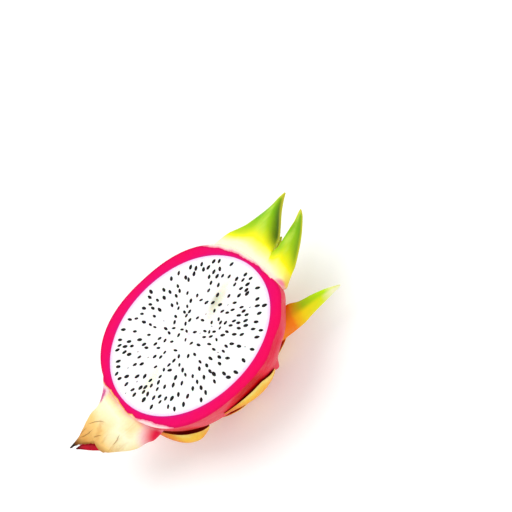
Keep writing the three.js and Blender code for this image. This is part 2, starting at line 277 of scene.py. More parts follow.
def past_border(point):
    """How far a point lies on the cream side of the crown's or the stem end's border, seen from above."""
    border = CROWN_BORDER if point.x > 0 else STEM_BORDER
    nearest = None
    for start, end in zip(border, border[1:]):
        step = (Vector(end) - Vector(start)) * MM
        offset = point.xy - Vector(start) * MM
        share = clamped(offset.dot(step) / step.length_squared)
        gap = (offset - step * share).length
        if nearest is None or gap < nearest[0]:
            nearest = (gap, step.cross(offset))
    gap, turn = nearest
    away = 1 if point.x > 0 else -1
    return math.copysign(gap, turn) * away


def over_skin(x, angle, height):
    """A point over the skin, from its place along X, its angle from the +Y side down and its height."""
    radius = radius_at(x)
    step = 0.1 * MM  # for the skin's slope
    slope = Vector((step, radius_at(x + step) - radius)).normalized()
    reach = radius + height * slope.x
    return Vector((x - height * slope.y, reach * math.cos(angle), CUT_HEIGHT - reach * math.sin(angle)))


def skin_angle(point):
    """Angle of a point about the fruit's axis, from the +Y side down."""
    return math.atan2(CUT_HEIGHT - point.z, point.y)


# ---------------------------------------------------------------- bracts on the skin

SCALE_THICKNESS = 2.6 * MM
SCALE_ROWS = 44
SCALE_COLUMNS = 16
FLOOR_CLEARANCE = 0.5 * MM
RIPPLE = 0.5 * MM  # how much the free margin wavers
ROOT_DEPTH = 0.5 * MM  # how deep the root is set in the skin
ROOT_RISE = 0.8 * MM
ROUNDING = 0.06  # share of the width that is rounded at the free margin
DROOP_FROM = 0.72  # share of the length where the margin starts to droop
SHADE_LEAST = 11 * MM  # reach of the painted shade in the fold beside a narrow bract, more beside a wide one
SHADE_PART = 0.4  # of the bract's width, on top of that

# Each has its middle as a share of the body's half length, the angle of its free margin from the +Y side
# down, the side that the margin faces, how far the margin curls (in radians) and droops at the tip (in
# degrees), and how far along it is fullest. Lengths are in millimetres.
SIDE_SCALES = {
    "side_bract_low": {
        "along": 0.08, "margin": 168, "toward": 1, "length": 34, "width": 21, "lift": 3.3,
        "curl": 2.8, "droop": 12, "tip_lift": 0.2, "fullest": 1.5,
    },
    "side_bract_base": {
        "along": -0.69, "margin": 158, "toward": 1, "length": 23, "width": 19, "lift": 6.8,
        "curl": 2.85, "droop": 10, "tip_lift": 0.1, "fullest": 1.3,
    },
}

# The others, in the same spiral, as (along, margin, toward).
BACK_PLACES = [
    (-0.58, 122, 1),
    (0.46, 124, 1),
    (-0.1, 138, 1),
    (-0.6, 56, -1),
    (0.52, 66, -1),
    (0.42, 43, -1),
    (-0.26, 38, -1),
    (-0.56, 17, -1),
    (0.36, 15, -1),
]
BACK_SCALES = {
    f"back_bract_{i + 1}": {
        "along": along, "margin": margin, "toward": toward, "length": 30, "width": 14, "lift": 4.5,
        "curl": 2.1, "droop": 0, "tip_lift": 0.6, "fullest": 1.12,
    }
    for i, (along, margin, toward) in enumerate(BACK_PLACES)
}
SKIN_SCALES = {**SIDE_SCALES, **BACK_SCALES}


def share_along(scale, x):
    """How far along a flap a place on X lies, 0 at its stem end and 1 at its tip."""
    return 0.5 + (x - scale["along"] * BODY_HALF_LENGTH) / (scale["length"] * MM)


def place_along(scale, share):
    """The place on X at a share of a flap's length."""
    return scale["along"] * BODY_HALF_LENGTH + (share - 0.5) * scale["length"] * MM


def flap_outline(scale, share):
    """How wide and high a flap is along its length, 0 at its thin ends and 1 at its widest."""
    thin_end = 0.03
    point_end = 0.012
    fuller = share ** scale["fullest"]
    return math.sin(math.pi * (thin_end + (1 - thin_end - point_end) * fuller)) ** 0.85


def margin_angle(scale, share):
    """Angle of a flap's free margin, which droops towards the tip."""
    return math.radians(scale["margin"] - scale["droop"] * smoothstep(DROOP_FROM, 1, share))


def flap_point(scale, share, across, lower):
    """A point of a crescent flap: across is 0 where it leaves the skin and 1 at its free margin."""
    width = scale["width"] * MM
    lift = scale["lift"] * MM
    outline = flap_outline(scale, share)
    x = place_along(scale, share)
    around = max(radius_at(x), width)
    ripple = RIPPLE * noise.noise(Vector((share * 5, scale["margin"], scale["along"]))) * across
    in_from_margin = (1 - across) * width * outline + ripple
    turn = margin_angle(scale, share) - scale["toward"] * in_from_margin / around
    root = ROOT_RISE * smoothstep(0, 0.3, across) - ROOT_DEPTH
    bulge = lift * outline * math.sin(scale["curl"] * across)
    tip_lift = scale["tip_lift"] * lift * smoothstep(0.6, 1, share) * smoothstep(0, 0.5, across)
    thickness = SCALE_THICKNESS * (1 - 0.72 * across) * (0.3 + 0.7 * outline)
    past_flat = max(across - 1 + ROUNDING, 0) / ROUNDING
    rounding = math.sqrt(max(1 - past_flat**2, 0.04))
    middle = root + bulge + tip_lift - thickness / 2
    side = -0.5 if lower else 0.5
    point = over_skin(x, turn, middle + side * thickness * rounding)
    point.z = max(point.z, FLOOR_CLEARANCE)
    return point


def flap(name, scale):
    def place(share, across, lower):
        return flap_point(scale, share, math.sin(across * math.pi / 2), lower)

    def free(point):
        share = clamped(share_along(scale, point.x))
        width = scale["width"] * MM
        around = max(radius_at(place_along(scale, share)), width)
        off_margin = scale["toward"] * (margin_angle(scale, share) - skin_angle(point))
        return clamped(1 - off_margin * around / (width * max(flap_outline(scale, share), 0.05)))

    piece = rolled(name, SCALE_ROWS, SCALE_COLUMNS, place)
    write_attribute(piece, "free", free)
    write_attribute(piece, "tip", lambda point: clamped(share_along(scale, point.x)))
    write_inner_side(piece)
    return piece


def write_inner_side(piece):
    """1 on the side of a flap that faces the skin, 0 elsewhere."""
    attribute = piece.data.attributes.new("inner_side", "FLOAT", "POINT")
    for vertex in piece.data.vertices:
        out = Vector((0, vertex.co.y, vertex.co.z - CUT_HEIGHT)).normalized()
        attribute.data[vertex.index].value = smoothstep(0, -0.4, vertex.normal.dot(out))


def flap_shade_strength(point):
    """How deep in the fold beside a bract's free margin a point of the skin lies, 0 to 1, which sets the
    painted shade there.
    """
    strongest = 0
    for scale in SKIN_SCALES.values():
        width = scale["width"] * MM
        share = share_along(scale, point.x)
        if not -0.15 < share < 1.15:
            continue
        beyond = scale["toward"] * (skin_angle(point) - math.radians(scale["margin"])) * radius_at(point.x)
        outline = flap_outline(scale, clamped(share))
        reach = (SHADE_LEAST + SHADE_PART * width) * (0.25 + 0.75 * outline)
        if beyond > reach or beyond < -width:
            continue
        ends = smoothstep(-0.15, 0.35, share) * smoothstep(1.15, 0.65, share)
        strongest = max(strongest, ends * (1 - smoothstep(0.2 * reach, reach, max(beyond, 0))))
    return strongest


# ---------------------------------------------------------------- blades with stations along X

BLADE_ROWS_BETWEEN = 9
BLADE_COLUMNS = 32
EDGE = 1.2  # millimetres: thickness of a thin margin, and how far in its rounding reaches
HALVINGS = 14  # to find a station from its place on X
TEAR = 21.5  # millimetres past the body's end, where the husk's right margin is torn
TEAR_LEAN = 2.6
FRAY = (0.9, 0.3)  # millimetres sideways and up

# Every station is (out, left, ridge, right, thick), in millimetres. Out is the distance past the body's
# end. Left, ridge and right are (y, height over the cut face) of the upper side, and thick is the
# thickness at those three places.
BLADES = {
    "crown_leaf_tall": [
        (-17, (31.5, 0), (14, 0), (-3.4, 0), (3, 13, 13)),
        (-6, (31.3, 0), (14, 0), (-3.4, 0), (3, 12, 12)),
        (0, (30.5, 0), (14, 0), (-2.8, 0), (3, 10, 9)),
        (5, (28.7, -0.2), (14.2, 0), (-0.2, 0), (2.5, 8, 6.5)),
        (9.5, (27.4, -0.6), (15, 0.3), (2.6, 0), (2, 5.5, 3.5)),
        (14, (26.9, -1), (16.4, 0.6), (5.9, -3), (1.6, 4, 2)),
        (18, (26.5, -1.2), (17.8, 1), (9.3, -5), (1.5, 3.5, 1.6)),
        (23, (26, -1.3), (20, 1), (14.6, -5.5), (EDGE, 3, EDGE)),
        (28, (25.8, -1.2), (22.6, 0.6), (19.6, -4.5), (EDGE, 2.4, EDGE)),
        (33, (26, -0.8), (24.5, 0), (23, -2.5), (1, 1.6, 1)),
        (37, (25.8, -0.6), (25.4, -0.4), (25, -0.8), (0.8, 0.9, 0.8)),
    ],
    "crown_leaf_front": [
        (-12, (-2.6, 0), (-9, 0), (-15, -1), (12, 12, 8)),
        (-4, (-2.6, 0), (-9, 0), (-15.5, -1), (12, 11, 6)),
        (0, (-2.0, 0), (-9, 0), (-16.5, -2), (9, 9, 3)),
        (2.5, (-0.7, 0), (-8, 0), (-17.4, -3), (8, 8, 2)),
        (5, (0.6, 0), (-6.6, 0), (-16, -3.2), (6.5, 7, 1.8)),
        (9.5, (2.7, 0), (-4, 0.4), (-13.2, -3.6), (3.5, 5, 1.6)),
        (14, (2.5, 0), (-1.5, 0.8), (-10.6, -4), (2, 4, 1.5)),
        (20, (4.4, 0), (1, 1), (-5.8, -4.5), (1.5, 3.4, EDGE)),
        (25.5, (5.8, -0.2), (4.2, 0.8), (-1.1, -4.5), (EDGE, 2.8, EDGE)),
        (30, (8.1, -1), (6.6, -0.4), (3.1, -4), (EDGE, 2.2, EDGE)),
        (35, (11.4, -2.2), (10.6, -2), (8.6, -3.6), (1, 1.4, 1)),
        (37, (12.6, -3), (12.2, -2.9), (11.8, -3.2), (0.8, 0.9, 0.8)),
    ],
    "crown_stub": [
        (5.5, (8, -9.5), (4.5, -9), (1, -9.5), (1.5, 3, 1.5)),
        (11, (10, -8.6), (7, -8), (4, -8.6), (1.2, 2.4, 1.2)),
        (15.5, (11.2, -8.3), (9.4, -7.9), (7.4, -8.4), (1, 1.8, 1)),
        (19.5, (11.2, -8), (10.8, -7.8), (10.2, -8), (0.8, 0.9, 0.8)),
    ],
    "side_bract_crown": [
        (-20, (-20, -15), (-25.5, -20), (-25, -27), (4, 4, 3)),
        (-10, (-19.5, -13.2), (-25.8, -17.6), (-27.5, -24.6), (4, 4, 2.5)),
        (-2.8, (-19.9, -12.5), (-25.8, -16.6), (-28.8, -23.5), (3, 4, 2)),
        (2.7, (-22.8, -13), (-26.8, -16.4), (-28.9, -22.5), (1.6, 3.6, 1.6)),
        (10.6, (-24.7, -14), (-27.6, -16.6), (-29.1, -21.5), (EDGE, 3, EDGE)),
        (18, (-26.6, -16), (-28.4, -17.6), (-29.3, -20.5), (EDGE, 2.2, EDGE)),
        (24.7, (-29, -18.6), (-29.3, -18.9), (-29.6, -19.4), (0.8, 0.9, 0.8)),
    ],
    "stem_end": [
        (-9, (24, 0), (-3, 0), (-27.5, -7), (1.5, 24, 3)),
        (-2, (17, 0), (-5.5, 0), (-28, -8), (1.5, 20, 2)),
        (2, (11.3, 0), (-7, 0), (-26.6, -8), (1.5, 17, 1.6)),
        (8.8, (6, 0), (-9, 0), (-24.8, -8), (1.5, 12, 1.5)),
        (15, (5.2, -0.2), (-7.5, 0), (-21, -7), (1.4, 8.5, 1.4)),
        (19.4, (3.8, -0.5), (-6.9, 0), (-16.2, -5.6), (1.3, 5.9, 1.3)),
        (21.4, (3, -0.7), (-6, -0.1), (-12.8, -5), (1.3, 5, 1.3)),
        (22, (2.7, -0.8), (-4.6, -0.3), (-9.4, -3.8), (1.3, 4.4, 1.3)),
        (24.6, (1.6, -1), (-3.2, -0.5), (-7.2, -3), (1.3, 3.4, 1.3)),
        (28, (0.3, -1.4), (-2.2, -1), (-4.7, -2.6), (1.2, 2.6, 1.2)),
        (32, (-0.3, -1.8), (-1.1, -1.6), (-2, -2.4), (1, 1.8, 1)),
        (35.4, (-0.5, -2.2), (-0.9, -2.1), (-1.3, -2.3), (0.8, 0.9, 0.8)),
    ],
    "stem_scale": [
        (12, (0, -14), (-9, -13), (-18, -12.6), (1, 1.8, 1)),
        (18, (0, -11.2), (-8.4, -9.8), (-17, -10), (1, 1.8, 1)),
        (24.3, (-1.6, -7), (-6.6, -5.6), (-11.6, -7.2), (1, 1.7, 1)),
        (28, (-2, -5.8), (-5, -4.8), (-8.4, -6), (0.9, 1.4, 0.9)),
        (31.7, (-2, -5), (-3.2, -4.6), (-4.5, -5), (0.8, 1, 0.8)),
        (33.6, (-2, -4.6), (-2.4, -4.5), (-2.8, -4.6), (0.6, 0.7, 0.6)),
    ],
}

# Blades of the hidden side of the crown, each (distance past the body's end, radius from the fruit's
# axis, angle from the +Y side down, half angle), in millimetres and degrees.
ROUND_BLADES = {
    "crown_leaf_back": [
        (-16, 31, 44, 20),
        (-6, 29, 43, 19),
        (4, 26.5, 40, 16),
        (14, 26, 36, 9),
        (21, 27.5, 33, 4),
        (25, 29, 31, 1),
    ],
    "crown_leaf_under": [
        (-12, 30, 98, 16),
        (-8, 27, 96, 17),
        (0, 23, 91, 17),
        (6, 21.5, 85, 13),
        (11, 21.5, 80, 6),
        (14.5, 22.5, 77, 1.5),
    ],
}
ROUND_LEAF_THICKNESS = 3.4


def flat_list(station):
    """A station's numbers in one list."""
    numbers = []
    for item in station:
        numbers.extend(item if isinstance(item, tuple) else (item,))
    return numbers


def between_stations(stations, share):
    """The numbers of a smooth curve through the stations, share 0 to 1 of the way along them."""
    place = share * (len(stations) - 1)
    first = min(int(place), len(stations) - 2)
    part = place - first
    around = [stations[min(max(first + k, 0), len(stations) - 1)] for k in (-1, 0, 1, 2)]
    values = []
    for before, start, end, after in zip(*(flat_list(station) for station in around)):
        slope_in = (end - before) / 2
        slope_out = (after - start) / 2
        bend = 3 * (end - start) - 2 * slope_in - slope_out
        twist = 2 * (start - end) + slope_in + slope_out
        values.append(start + part * (slope_in + part * (bend + part * twist)))
    return values


def through_three(first, middle, last, share):
    """A parabola through three values at shares 0, a half and 1."""
    control = 2 * middle - (first + last) / 2
    return (1 - share) ** 2 * first + 2 * share * (1 - share) * control + share**2 * last


def under_rim(point):
    """Sinks what lies inside the body's outline just under the peel's cut face."""
    inside = -past_body(point)
    if inside > 0 and point.z > CUT_HEIGHT - 3 * MM:
        point.z = min(point.z, CUT_HEIGHT - min(0.8 * MM, 0.7 * inside))
    return point


def blade_point(stations, side, share, across, lower):
    """A point of a blade's upper or lower side, with its margins rounded."""
    numbers = between_stations(stations, share)
    out, left, left_z, ridge, ridge_z, right, right_z, *thick = numbers
    y = through_three(left, ridge, right, across)
    z = through_three(left_z, ridge_z, right_z, across)
    thickness = max(through_three(*thick, across), 0.5)
    from_edge = min(across, 1 - across) * abs(left - right)
    rounded = min(0.45 * thickness, 0.6)
    dip = rounded * (1 - math.sqrt(max(1 - max(1 - from_edge / EDGE, 0) ** 2, 0)))
    height = z - dip if not lower else z - thickness + dip
    return Vector((side * (BODY_HALF_LENGTH + out * MM), y * MM, CUT_HEIGHT + height * MM))


def rolled(name, rows, columns, place):
    """A closed piece from place(share, across, lower): across runs 0 to 1, and back on the lower side."""

    def corner(row, column):
        around = 2 * column if column < 1 - SAME_PLACE else 0  # the last column lies on the first
        lower = around > 1
        return place(row, 2 - around if lower else around, lower)

    piece = placed_grid(name, rows, 2 * columns, corner)
    close_shell(piece)
    return piece


def eased(across):
    """A share across a blade, eased so that corners lie closer together at both margins."""
    return 0.5 - 0.5 * math.cos(math.pi * across)


def torn(point, across):
    """Leans the husk's right margin outwards before the tear and frays it behind."""
    out = -point.x / MM - BODY_HALF_LENGTH / MM
    before = smoothstep(TEAR - 6.5, TEAR - 0.5, out) * smoothstep(TEAR + 1.1, TEAR - 0.1, out)
    lean = TEAR_LEAN * smoothstep(0.55, 1, across) * before
    frayed = smoothstep(0.8, 1, across) * smoothstep(TEAR - 3.5, TEAR + 0.5, out)
    ragged = frayed * noise.noise(Vector((point.x, point.z, 0)) * 900)
    return point + Vector((-lean, FRAY[0] * ragged, FRAY[1] * ragged)) * MM


def blade(name, side, reshape=None):
    """A blade of the crown (side 1) or of the stem end (side -1), from its stations."""
    stations = BLADES[name]

    def place(share, across, lower):
        point = blade_point(stations, side, share, eased(across), lower)
        if reshape:
            point = reshape(point, eased(across))
        return under_rim(point)

    piece = rolled(name, BLADE_ROWS_BETWEEN * (len(stations) - 1), BLADE_COLUMNS, place)
    write_blade_attributes(piece, stations, side)
    return piece


def round_blade(name):
    """A blade of the crown's hidden side, curved about the fruit's axis."""
    stations = ROUND_BLADES[name]

    def place(share, across, lower):
        out, radius, angle, half = between_stations(stations, share)
        offset = 2 * eased(across) - 1
        turn = math.radians(angle + half * offset)
        taper = (1 - 0.6 * offset * offset) * (1 - 0.6 * share)
        reach = (radius - (ROUND_LEAF_THICKNESS * taper if lower else 0)) * MM
        x = BODY_HALF_LENGTH + out * MM
        return Vector((x, reach * math.cos(turn), CUT_HEIGHT - reach * math.sin(turn)))

    piece = rolled(name, BLADE_ROWS_BETWEEN * (len(stations) - 1), BLADE_COLUMNS, place)
    reach = 0.975 * stations[-1][0] * MM
    write_attribute(piece, "past", lambda point: clamped((point.x - BODY_HALF_LENGTH) / reach))
    write_attribute(piece, "border", lambda point: 1.0)
    write_attribute(piece, "edge", lambda point: 0.0)
    write_attribute(piece, "flank", lambda point: 0.35)
    return piece


def write_blade_attributes(piece, stations, side):
    """How far past the body, how near the left and right margins and on which flank each corner is."""
    reach = stations[-1][0] * MM
    sections = {}

    def section(x):
        """Places in metres of the left and right margins at a place on X, found by halving."""
        key = round(x, 5)
        if key not in sections:
            out = (side * x - BODY_HALF_LENGTH) / MM
            low, high = 0.0, 1.0
            for _ in range(HALVINGS):
                middle = (low + high) / 2
                if between_stations(stations, middle)[0] < out:
                    low = middle
                else:
                    high = middle
            numbers = between_stations(stations, low)
            sections[key] = (numbers[1] * MM, numbers[5] * MM)
        return sections[key]

    def flank(point):
        left, right = section(point.x)
        return clamped((left - point.y) / max(left - right, 0.01 * MM))

    def edge(point):
        left, right = section(point.x)
        return 1 - smoothstep(0.15 * MM, 1.1 * MM, min(left - point.y, point.y - right))

    write_attribute(piece, "past", lambda point: clamped(past_body(point) / reach))
    write_attribute(piece, "border", lambda point: past_border(point) / BORDER_UNIT)
    write_attribute(piece, "flank", flank)
    write_attribute(piece, "edge", edge)


# ---------------------------------------------------------------- finishes


class Value:
    """What a node puts out, a number or a colour. Arithmetic on it adds math nodes."""

    def __init__(self, finish, socket):
        self.finish = finish
        self.socket = socket

    def __add__(self, other):
        return self.finish.math("ADD", self, other)

    def __sub__(self, other):
        return self.finish.math("SUBTRACT", self, other)

    def __rsub__(self, other):
        return self.finish.math("SUBTRACT", other, self)

    def __mul__(self, other):
        return self.finish.math("MULTIPLY", self, other)

    def __abs__(self):
        return self.finish.math("ABSOLUTE", self)

    def larger(self, other):
        return self.finish.math("MAXIMUM", self, other)

    def between(self, low, high, to_low=0.0, to_high=1.0):
        """The value's way from low to high, eased, as a number from to_low to to_high."""
        inputs = {"Value": self, "From Min": low, "From Max": high, "To Min": to_low, "To Max": to_high}
        eased = {"interpolation_type": "SMOOTHSTEP"}
        return self.finish.output("ShaderNodeMapRange", "Result", eased, inputs)

    def ramp(self, *stops):
        """The colour at this value, through stops of (value, colour)."""
        colour = self.finish.output("ShaderNodeValToRGB", "Color", (), {"Fac": self})
        elements = colour.socket.node.color_ramp.elements
        while len(elements) < len(stops):
            elements.new(0.5)
        for element, (position, shade) in zip(elements, stops):
            element.position = position
            element.color = shade
        return colour


class Finish:
    """A node material, made step by step. Patterns read the coordinates of the object itself."""

    def __init__(self, name, **sockets):
        self.material = bpy.data.materials.new(name)
        self.material.use_nodes = True
        self.tree = self.material.node_tree
        self.shader = self.tree.nodes["Principled BSDF"]
        for socket, value in sockets.items():
            self.shader.inputs[socket.replace("_", " ")].default_value = value
        self.coordinates = self.output("ShaderNodeTexCoord", "Object")

    def output(self, kind, output, settings=(), inputs=()):
        """What a new node of that kind puts out, with its settings made and its inputs given."""
        node = self.tree.nodes.new(kind)
        for name, value in dict(settings).items():
            setattr(node, name, value)
        for name, value in dict(inputs).items():
            self.give(node.inputs[name], value)
        return Value(self, node.outputs[output])

    def give(self, socket, value):
        """Sets a socket to a number or colour, or links it to what another node puts out."""
        if isinstance(value, Value):
            self.tree.links.new(value.socket, socket)
        else:
            socket.default_value = value

    def math(self, operation, first, second=0.0):
        return self.output("ShaderNodeMath", 0, {"operation": operation}, {0: first, 1: second})

    def mix(self, share, first, second):
        """The first colour where the share is 0, the second where it is 1."""
        inputs = {"Factor": share, 6: first, 7: second}
        return self.output("ShaderNodeMix", 2, {"data_type": "RGBA"}, inputs)

    def attribute(self, name):
        return self.output("ShaderNodeAttribute", "Fac", {"attribute_name": name})

    def stretched(self, scale, centre=(0, 0, 0), turn=0):
        """The object's coordinates about a centre, turned about Z and divided by a size."""
        inputs = {"Vector": self.coordinates, "Location": centre, "Rotation": (0, 0, turn), "Scale": scale}
        return self.output("ShaderNodeMapping", "Vector", {"vector_type": "TEXTURE"}, inputs)

    def axis(self, name, at=None):
        return self.output("ShaderNodeSeparateXYZ", name, (), {"Vector": at or self.coordinates})

    def noise(self, scale, detail=3, roughness=0.5, distortion=0, stretch=None):
        inputs = {
            "Vector": self.stretched(stretch) if stretch else self.coordinates,
            "Scale": scale,
            "Detail": detail,
            "Roughness": roughness,
            "Distortion": distortion,
        }
        return self.output("ShaderNodeTexNoise", "Fac", (), inputs)

    def patch(self, centre, size, turn=0):
        """1 at (x, y, height over the cut face), falling to 0 at an ellipsoid, in millimetres."""
        middle = Vector(centre) * MM + Vector((0, 0, CUT_HEIGHT))
        at = self.stretched(Vector(size) * MM, middle, math.radians(turn))
        return self.output("ShaderNodeTexGradient", "Fac", {"gradient_type": "SPHERICAL"}, {"Vector": at})

    def stroke(self, start, end, width, bend, uneven, strength=0.62):
        """A thin bent line from start to end, in millimetres, broken up by an uneven value."""
        first = Vector(start) * MM
        last = Vector(end) * MM
        middle = (first + last) / 2
        reach = (last - first).length / 2
        turn = math.atan2(last.y - first.y, last.x - first.x)
        at = self.stretched((reach, width * MM, 1), (middle.x, middle.y, 0), turn)
        along = self.axis("X", at)
        bent = along * along * (bend * reach / (width * MM) / 4)
        off = abs(self.axis("Y", at) + bent + (uneven - 0.5) * 6.0)
        return off.between(1.0, 0.1) * abs(along).between(1.0, 0.3, 0, strength)

    def relief(self, *layers):
        """Bumps the surface with layers of (height, distance)."""
        normal = None
        for height, distance in layers:
            inputs = {"Height": height, "Distance": distance, "Strength": 1.0}
            if normal:
                inputs["Normal"] = normal
            normal = self.output("ShaderNodeBump", "Normal", (), inputs)
        self.give(self.shader.inputs["Normal"], normal)

    def done(self, colour, pattern, smooth, rough):
        """The material, with a colour and a roughness that follows a pattern."""
        self.give(self.shader.inputs["Base Color"], colour)
        self.give(self.shader.inputs["Roughness"], pattern.between(0.3, 0.7, smooth, rough))
        return self.material


def skin_finish(colours):
    """The peel's outside: rosy patches, freckles, and painted shade, a deeper red, in the folds beside the
    bracts.
    """
    finish = Finish("skin", Subsurface_Weight=0.03, Subsurface_Scale=0.004, Specular_IOR_Level=0.09)
    patches = finish.noise(38, 4, 0.6)
    blotches = finish.noise(150, 3, 0.65)
    pores = finish.noise(1500, 2)
    wrinkles = finish.noise(300, 4, 0.7, stretch=(4, 1, 1))
    base = patches.ramp((0.36, colours.skin), (0.66, colours.skin_light))
    freckled = finish.mix(blotches.between(0.5, 0.75, 0, 0.35), base, linear(214, 24, 58))
    # Painted shade: redder, then deep red, in the folds beside the bracts' free margins.
    flap_shade = finish.attribute("flap_shade") * ((patches - 0.5) * 0.9 + 1.0)
    rosy = finish.mix(flap_shade.between(0.0, 0.6), freckled, linear(236, 12, 50))
    groove_shaded = finish.mix(flap_shade.between(0.45, 1.05), rosy, colours.skin_groove_shade)
    colour = finish.mix(finish.attribute("end").between(0.0, 1.0), groove_shaded, linear(250, 190, 150))
    finish.relief((blotches, 0.0005), (wrinkles, 0.00025), (pores, 0.00006))
    return finish.done(colour, pores, 0.34, 0.46)


def wavering_border(finish):
    """Distance past the cream's border, made uneven."""
    waves = (finish.noise(170, 3) - 0.5) * 0.3 + (finish.noise(900, 3) - 0.5) * 0.06
    return finish.attribute("border") + waves


def cream_side(finish, rind, cream, line):
    """The rind's colour on the near side of the border, a thin line, and cream with a pink haze beyond."""
    border = wavering_border(finish)
    specks = finish.noise(1300, 1).between(0.66, 0.76, 0, 0.2) * border.between(0.08, 0.0)
    low_side = finish.axis("Y").between(-12 * MM, -19 * MM)
    stem_side = finish.axis("X").between(10 * MM, -10 * MM, 0.1, 0.95) * (1.0 - low_side)
    edging = finish.mix(stem_side, linear(250, 160, 182), line)
    pale = finish.mix(low_side, cream, linear(255, 196, 212))
    darker = finish.mix(border.between(-0.14, -0.02, 0, 0.5), rind, linear(196, 0, 84))
    lined = finish.mix(border.between(-0.02, 0.04), darker, edging)
    hazed = finish.mix(border.between(0.04, 0.14), lined, linear(255, 222, 214))
    past = finish.mix(border.between(0.1, 0.3), hazed, pale)
    return finish.mix(specks, past, linear(160, 10, 50))


def rind_finish(colours):
    """The rind's cut face: magenta, darker at both of its edges, and cream past the border."""
    finish = Finish("rind_cut", Specular_IOR_Level=0.04)
    grain = finish.noise(420, 4, 0.6)
    base = finish.attribute("inner").ramp(
        (0.0, linear(214, 14, 84)),
        (0.12, linear(222, 0, 90)),
        (0.3, colours.rind),
        (0.8, linear(232, 0, 106)),
        (0.97, linear(206, 16, 124)),
    )
    near = finish.patch((24, -40, 0), (60, 34, 30)).between(0, 0.7, 0, 0.5)
    warmth = finish.noise(60, 3).between(0.45, 0.7, 0, 0.4).larger(near)
    warm = finish.mix(warmth, base, linear(244, 0, 78))
    grained = finish.mix(grain.between(0.55, 0.8, 0, 0.2), warm, linear(205, 8, 88))
    colour = cream_side(finish, grained, linear(255, 250, 206), linear(244, 190, 96))
    finish.relief((grain, 0.0002))
    return finish.done(colour, grain, 0.4, 0.55)


def flesh_finish(colours):
    """White flesh: a pink halo inside the rind, and three translucent places."""
    finish = Finish("flesh", Subsurface_Weight=0.2, Subsurface_Scale=0.004, Specular_IOR_Level=0.4)
    fibres = finish.noise(260, 5, 0.6, stretch=(2.5, 1, 1))
    wet = finish.noise(900, 2)
    rim = finish.attribute("rim")
    halo = (rim + fibres * 0.15).between(0.4, 1.15)
    haloed = finish.mix(halo, colours.flesh, linear(246, 200, 238))
    lined = finish.mix(rim.between(0.93, 1.0), haloed, linear(222, 84, 178))
    upper = finish.patch((24, 3.6, 0), (18, 4.4, 12), turn=24).between(0.0, 0.8, 0, 0.9)
    heart = finish.patch((22, 4.5, 0), (8, 3, 12), turn=24).between(0.0, 0.9, 0, 0.6)
    lower = finish.patch((-31, -5.5, 0), (14, 4.4, 12), turn=20).between(0.0, 0.9, 0, 0.75)
    olive = finish.mix(upper * fibres.between(0.3, 0.6, 0.55, 1), lined, linear(230, 228, 200))
    grey = finish.mix(heart, olive, linear(178, 180, 152))
    colour = finish.mix(lower, grey, linear(250, 247, 214))
    finish.relief((fibres, 0.00012), (wet, 0.00003))
    return finish.done(colour, fibres, 0.34, 0.46)


def seed_finish(colours):
    """Black seeds, and grey ones where they are unripe."""
    finish = Finish("seed", Specular_IOR_Level=0.12)
    mottle = finish.noise(2600, 2)
    black = finish.mix(mottle.between(0.4, 0.7, 0, 0.5), colours.seed, linear(34, 26, 28))
    colour = finish.mix(finish.attribute("ripe"), linear(176, 172, 176), black)
    finish.relief((mottle, 0.00004))
    return finish.done(colour, mottle, 0.4, 0.55)


def beyond_border(finish, own, rind, line):
    """The piece's own colour past the cream's border, and the rind's colour on the near side."""
    border = wavering_border(finish)
    hazed = finish.mix(border.between(0.34, 0.04, 0, 0.55), own, linear(255, 196, 206))
    lined = finish.mix(border.between(0.07, 0.0), hazed, line)
    return finish.mix(border.between(0.03, -0.04), lined, rind)


def leaf_finish(colours, name, flank_shade_colour, flank_shade_strength):
    """Crown bracts: cream roots, yellow, then green, with yellow margins that also carry a painted
    highlight, a painted highlight streak down the middle, and painted shade on the folded flank.
    """
    finish = Finish(name, Subsurface_Weight=0.08, Subsurface_Scale=0.004, Specular_IOR_Level=0.16)
    veins = finish.noise(240, 4, 0.6, stretch=(7, 1, 1))
    broad = finish.noise(70, 3)
    past = finish.attribute("past")
    flank = finish.attribute("flank")
    sooner = flank.between(0.4, 0.05, 0, 0.2) * past.between(0.1, 0.28)
    root = (past + (broad - 0.5) * 0.16 + sooner).ramp(
        (0.1, colours.cream),
        (0.19, linear(255, 252, 130)),
        (0.28, colours.yellow),
        (0.4, linear(214, 230, 10)),
        (0.54, linear(164, 208, 14)),
        (0.76, colours.green),
        (0.95, linear(140, 192, 10)),
        (1.0, linear(224, 216, 60)),
    )
    # Painted highlight down the middle of the blade, broken up by the veins pattern.
    middle = flank.between(0.1, 0.34) * flank.between(0.62, 0.4)
    pale = veins.between(0.35, 0.7, 0.2, 0.8) * middle * past.between(0.3, 0.5)
    streak_highlit = finish.mix(pale, root, linear(206, 240, 84))
    # Painted shade on the folded flank, which turns away from the light.
    flank_shade = flank.between(0.56, 0.96, 0, flank_shade_strength) * past.between(0.24, 0.5)
    shaded = finish.mix(flank_shade, streak_highlit, flank_shade_colour)
    low_side = finish.axis("Y").between(-6 * MM, -11 * MM)
    golden = flank.between(0.7, 0.98, 0, 0.85) * past.between(0.34, 0.12) * low_side
    gilded = finish.mix(golden, shaded, linear(236, 190, 40))
    # Yellow margins, lightened further as a painted highlight on the rounded margins.
    lit = finish.attribute("edge") * past.between(0.25, 0.45, 0, 0.7)
    edged = finish.mix(lit, gilded, linear(226, 222, 40))
    near = finish.mix(past.between(0.0, 0.1, 0.8, 0), edged, linear(255, 248, 222))
    corner = finish.patch((52.6, -14.2, 0), (4.6, 4.4, 9)).between(0.05, 0.6)
    flushed = finish.mix(corner, near, linear(240, 30, 118))
    colour = beyond_border(finish, flushed, colours.rind, linear(250, 214, 190))
    finish.relief((veins, 0.0004), (broad, 0.0008))
    return finish.done(colour, veins, 0.34, 0.5)


